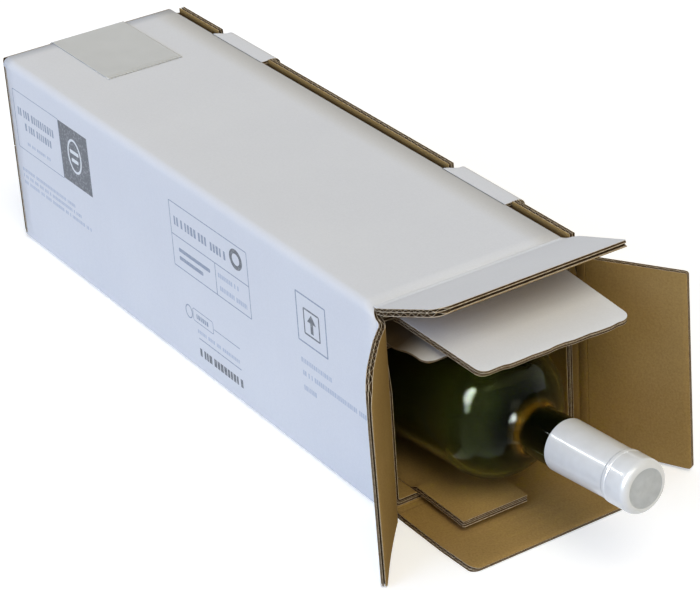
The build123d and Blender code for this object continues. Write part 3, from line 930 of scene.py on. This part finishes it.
def tape_strip():
    """A thin strip over the lid, the back fold and the back, its two ends cut in teeth.

    Stations follow the board 0.3 mm above it; the first and last station move along the
    run by a triangle wave of the span.
    """
    top, behind = lid_height + tape_skin, back_x - tape_skin
    path, normals, run = rounded_path(
        [(tape_end_x, 0, top), (behind, 0, top), (behind, 0, tape_end_z)],
        fold_radius + tape_skin, -ACROSS, 12, 6 * MM)
    span = tape_left + (tape_right - tape_left) * np.linspace(0, 1, 101)
    teeth = np.abs((span / (2.5 * MM)) % 1 - 0.5) * 1.3 * MM
    ends = np.zeros(len(path))
    ends[0], ends[-1] = 1, -1
    forward = np.gradient(path, axis=0)
    forward = forward / np.linalg.norm(forward, axis=1, keepdims=True)
    base = (path[:, None, :] + span[None, :, None] * ACROSS
            + ends[:, None, None] * teeth[None, :, None] * forward[:, None, :])
    ripple = 0.05 * MM * np.sin(run[:, None] / (9 * MM) + span[None, :] / (13 * MM))

    def points(depth):
        """Only the upper face ripples."""
        fall = ripple if depth == 0 else np.full_like(ripple, depth)
        return base + fall[..., None] * normals[:, None, :]

    return slab(points, 0.0, tape_skin * 0.97, (0, 0, 0))


tape = put_mesh("packing_tape_strip", *tape_strip(), [make_tape()])
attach(tape, "box")
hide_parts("tape")


# --- Print on the left wall, in mm ---------------------------------------------------

ink_proud = 0.05
ink_sunk = 0.02


def outline(low_x, high_x, low_z, high_z, corner, steps):
    """A rectangle's outline with round corners, as (x, z) rows in metres."""
    low_x, high_x, low_z, high_z, corner = (v * MM for v in (low_x, high_x, low_z, high_z, corner))
    corner = max(corner, 1e-6)
    turn = np.linspace(0, math.pi / 2, steps)
    centres = ((high_x - corner, high_z - corner), (low_x + corner, high_z - corner),
               (low_x + corner, low_z + corner), (high_x - corner, low_z + corner))
    return np.concatenate([
        np.stack([cx + corner * np.cos(turn + k * math.pi / 2),
                  cz + corner * np.sin(turn + k * math.pi / 2)], -1)
        for k, (cx, cz) in enumerate(centres)])


def ink_shape(inner, outer, proud, closed):
    """A thin shape on the wall between two outlines of (x, z) rows in metres.

    It is closed where a hole is left inside the inner outline; a field has one point there.
    """
    inner = np.broadcast_to(inner, outer.shape)
    front, back = wall_y - proud * MM, wall_y + ink_sunk * MM
    rings = ((inner, front), (outer, front), (outer, back), (inner, back))
    verts = np.concatenate([np.insert(line, 1, y, axis=1) for line, y in rings])
    faces = outwards(verts, ring_quads(len(rings), len(outer), closed))
    return verts, faces, np.zeros(len(faces), int), np.zeros((len(verts), 2))


def ink_plate(low_x, high_x, low_z, high_z, corner=0.0, proud=ink_proud):
    """A filled field of ink."""
    line = outline(low_x, high_x, low_z, high_z, corner, 2 if corner == 0 else 6)
    return ink_shape(line.mean(0), line, proud, False)


def ink_frame(low_x, high_x, low_z, high_z, corner, width):
    """A frame of ink of one line width."""
    inner = outline(low_x + width, high_x - width, low_z + width, high_z - width,
                    max(corner - width, 0.02), 6)
    return ink_shape(inner, outline(low_x, high_x, low_z, high_z, corner, 6), ink_proud, True)


def ink_ring(middle_x, middle_z, half_x, half_z, width):
    """A plain oval ring of ink."""
    turn = np.linspace(0, 2 * math.pi, 48, endpoint=False)
    outer, inner = (
        (np.array([middle_x, middle_z]) + np.stack([a * np.cos(turn), b * np.sin(turn)], -1)) * MM
        for a, b in ((half_x, half_z), (half_x - width, half_z - width)))
    return ink_shape(inner, outer, 0.08, True)


def ink_arrow(middle_x, low_z, high_z, half_head, half_shaft):
    """A plain arrow that points up."""
    neck_z = high_z - 1.2 * half_head
    x = np.array([-half_shaft, half_shaft, half_shaft, half_head, 0, -half_head, -half_shaft])
    z = np.array([low_z, low_z, neck_z, neck_z, high_z, neck_z, neck_z])
    line, middle = np.stack([x + middle_x, z], -1), np.array([middle_x, neck_z])
    return ink_shape(middle * MM, line * MM, 0.06, False)


def dashes(low_x, high_x, low_z, high_z, seed, longest=1.7, shortest=0.8, gap=0.55):
    """A row of upright bars that stands for a line of print, their widths from a fixed seed."""
    draw = np.random.default_rng(seed)
    count = int((high_x - low_x) / (shortest + gap)) + 2
    widths = draw.uniform(shortest, longest, count)
    spaces = gap + (draw.uniform(0, 1, count) < 0.16) * 1.5
    starts = low_x + np.concatenate([[0], np.cumsum(widths + spaces)[:-1]])
    return [ink_plate(a, min(a + width, high_x), low_z, high_z)
            for a, width in zip(starts, widths) if a + shortest < high_x]


rows_of_print = (
    (-193.2, -122.7, 50.6, 52.8), (-193.0, -117.2, 46.3, 48.5), (-192.8, -103.8, 41.9, 44.1),
    (-181.5, -150.3, 71.4, 73.4), (47.0, 68.9, 74.8, 77.6), (48.0, 79.0, 66.9, 69.8),
    (17.0, 64.0, 27.2, 29.4), (130.4, 160.6, 59.4, 62.2), (131.2, 193.0, 51.6, 54.6),
    (131.2, 144.3, 42.6, 45.6),
)
large_rows = (
    (-189.5, -142.0, 89.6, 94.8, 30, 2.2, 1.2, 1.3),
    (-182.0, -147.6, 81.2, 86.0, 31, 2.2, 1.2, 1.3),
    (1.4, 38.6, 89.2, 94.6, 32, 2.4, 1.4, 1.2),
    (41.0, 57.2, 88.8, 94.0, 33, 2.4, 1.4, 1.2),
    (17.0, 31.4, 36.0, 39.0, 34, 1.9, 1.0, 0.8),
)
frames = [
    ink_frame(-194.4, -134.6, 66.4, 105.5, 1.2, 0.45),
    ink_frame(-3.0, 80.7, 62.5, 103.3, 0.8, 0.6),
    ink_plate(-2.6, 80.3, 82.2, 82.8),
    ink_plate(44.0, 44.6, 62.9, 82.2),
    ink_frame(129.1, 158.1, 72.1, 101.7, 0.8, 0.9),
    ink_frame(12.9, 35.6, 33.6, 41.8, 1.5, 0.45),
    ink_ring(8.6, 37.3, 3.9, 4.3, 0.7),
    ink_plate(36.0, 63.9, 37.0, 37.5),
    ink_plate(17.6, 63.6, 23.5, 24.1),
    ink_plate(4.0, 38.2, 73.4, 75.8, 0.8),
    ink_plate(4.0, 30.0, 68.2, 70.6, 0.8),
]
dark_marks = [
    ink_plate(-134.7, -98.9, 67.3, 105.1, 0.5),
    ink_ring(68.4, 94.0, 6.6, 6.2, 2.7),
    ink_frame(135.9, 151.5, 78.4, 94.2, 1.0, 1.0),
    ink_arrow(143.7, 80.8, 92.0, 4.2, 1.3),
    *dashes(17.3, 64.3, 12.3, 17.4, 60, 3.0, 1.8, 0.9),
]
pale_marks = [
    ink_ring(-117.2, 87.0, 8.6, 11.2, 1.5),
    ink_plate(-122.6, -111.8, 88.2, 90.6, 0.8, 0.09),
    ink_plate(-121.4, -113.0, 82.8, 85.2, 0.8, 0.09),
]
for name, ink, colour, shapes in (
    ("wall_print_rows", "faded_ink", (0.40, 0.44, 0.52),
     [bar for seed, row in enumerate(rows_of_print, 10) for bar in dashes(*row, seed)]),
    ("wall_print_frames", "grey_ink", (0.22, 0.26, 0.33),
     frames + [bar for row in large_rows for bar in dashes(*row)]),
    ("wall_print_dark", "dark_ink", (0.075, 0.085, 0.10), dark_marks),
    ("wall_print_pale", "pale_ink", (0.66, 0.68, 0.68), pale_marks),
):
    verts, faces, kinds, _ = join_layers(shapes)
    piece = put_mesh(name, verts, faces, kinds, [make_ink(ink, colour)], smooth_kinds=())
    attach(piece, "box")


# --- Stage, lights, camera ----------------------------------------------------------

scene = bpy.context.scene


def seen_directly(m):
    """One where a ray comes from the camera, a reflection or through glass, else nought."""
    rays = m.add("LightPath").outputs
    first = m.math("MAXIMUM", rays["Is Camera Ray"], rays["Is Glossy Ray"])
    return m.math("MAXIMUM", first, rays["Is Transmission Ray"])


def lay_floor():
    """A wide level square at z = 0, pale, lifted to white where it is seen unshaded."""
    m = new_material("studio_floor")
    tone = m.ramp(m.noise(0.8, 1.0, 0.5), (0.3, (0.80,) * 3), (0.7, (0.82,) * 3))
    matt = m.add("BsdfDiffuse", Color=tone)
    lifted = m.math("MULTIPLY", seen_directly(m), 0.42)
    glow = m.add("Emission", Color=(1, 1, 1, 1), Strength=lifted)
    m.finish(m.add("AddShader", i0=matt.outputs[0], i1=glow.outputs[0]))
    reach = 14.0
    verts = reach * np.array([(-1, -1, 0), (1, -1, 0), (1, 1, 0), (-1, 1, 0)], float)
    floor = put_mesh("studio_floor", verts, np.array([[0, 1, 2, 3]]), np.zeros(1, int), [m.owner])


def light_world():
    """A soft sky that lights the box, and plain white where it is seen."""
    world = bpy.data.worlds.new("studio")
    scene.world = world
    w = Nodes(world, "OutputWorld")
    soft = w.add("Background", Color=(0.97, 0.98, 1.0, 1.0), Strength=0.47)
    white = w.add("Background", Color=(1, 1, 1, 1), Strength=1.0)
    w.finish(w.add("MixShader", i0=seen_directly(w), i1=soft.outputs[0], i2=white.outputs[0]))


def hang(name, data, x, y, z, place):
    """Puts a lamp or a camera at a place, with its axes along x, y and z; it looks along -z."""
    holder = bpy.data.objects.new(name, data)
    rows = [[x[k], y[k], z[k], place[k]] for k in range(3)]
    holder.matrix_world = mathutils.Matrix([*rows, [0, 0, 0, 1]])
    scene.collection.objects.link(holder)
    return holder


def hang_sun(name, towards, strength, colour, softness):
    """A lamp at a great distance; towards points from the box to the lamp."""
    lamp = bpy.data.lights.new(name, "SUN")
    lamp.energy = strength
    lamp.color = colour
    lamp.angle = math.radians(softness)
    z = unit(towards)
    x = unit(np.cross(UP, z))
    hang(name, lamp, x, np.cross(z, x), z, (0, 0, 3))


def hang_card(name, towards, along, width, height, glow):
    """A lamp that lights no diffuse surface, so it shows only in reflections; along is the
    direction of its longer side.

    It hangs 2.2 metres from the bottle, and its glow is its brightness next to plain white.
    """
    lamp = bpy.data.lights.new(name, "AREA")
    lamp.shape = "RECTANGLE"
    lamp.size, lamp.size_y = width, height
    lamp.energy = glow * math.pi * width * height
    lamp.color = (0.93, 0.97, 1.0)
    z = unit(towards)
    along = np.array(along, float)
    x = unit(along - z * (along @ z))
    holder = hang(name, lamp, x, np.cross(z, x), z, np.array((0.30, -0.02, 0.07)) + 2.2 * z)
    holder.visible_diffuse = False


def set_camera():
    """The photograph's viewpoint: azimuth, elevation and roll about the box, with a long lens."""
    azimuth, elevation, roll = math.radians(-31.07), math.radians(28.27), math.radians(-4.05)
    level = math.cos(elevation)
    back = np.array([level * math.cos(azimuth), level * math.sin(azimuth), math.sin(elevation)])
    side = unit(np.cross(-back, UP))
    over = np.cross(side, -back)
    right = math.cos(roll) * side + math.sin(roll) * over
    up = -math.sin(roll) * side + math.cos(roll) * over
    camera = bpy.data.cameras.new("camera")
    camera.lens = 36 * 2701 / 700
    camera.sensor_width = 36
    camera.sensor_fit = "HORIZONTAL"
    camera.clip_end = 60
    scene.camera = hang("camera", camera, right, up, back, (1.1958, -0.6722, 0.7560))


lay_floor()
light_world()
hang_sun("key", (0.58, -0.14, 0.80), 1.30, (1.0, 0.93, 0.76), 35)
hang_sun("side_fill", (0.05, -0.94, 0.33), 1.44, (0.417, 0.60, 1.0), 40)
hang_card("window_strip", (-0.70, -0.51, 0.50), (0.7, -0.55, 0.42), 1.2, 0.13, 20.0)
hang_card("window_pane", (0.30, -0.72, 0.60), (0.0, 0.6, 0.7), 1.0, 0.8, 180.0)
hang_card("door_gap", (0.446, -0.84, 0.28), (0.0, 0.3, 1.0), 0.4, 0.2, 150.0)
set_camera()
scene.view_settings.view_transform = "Standard"
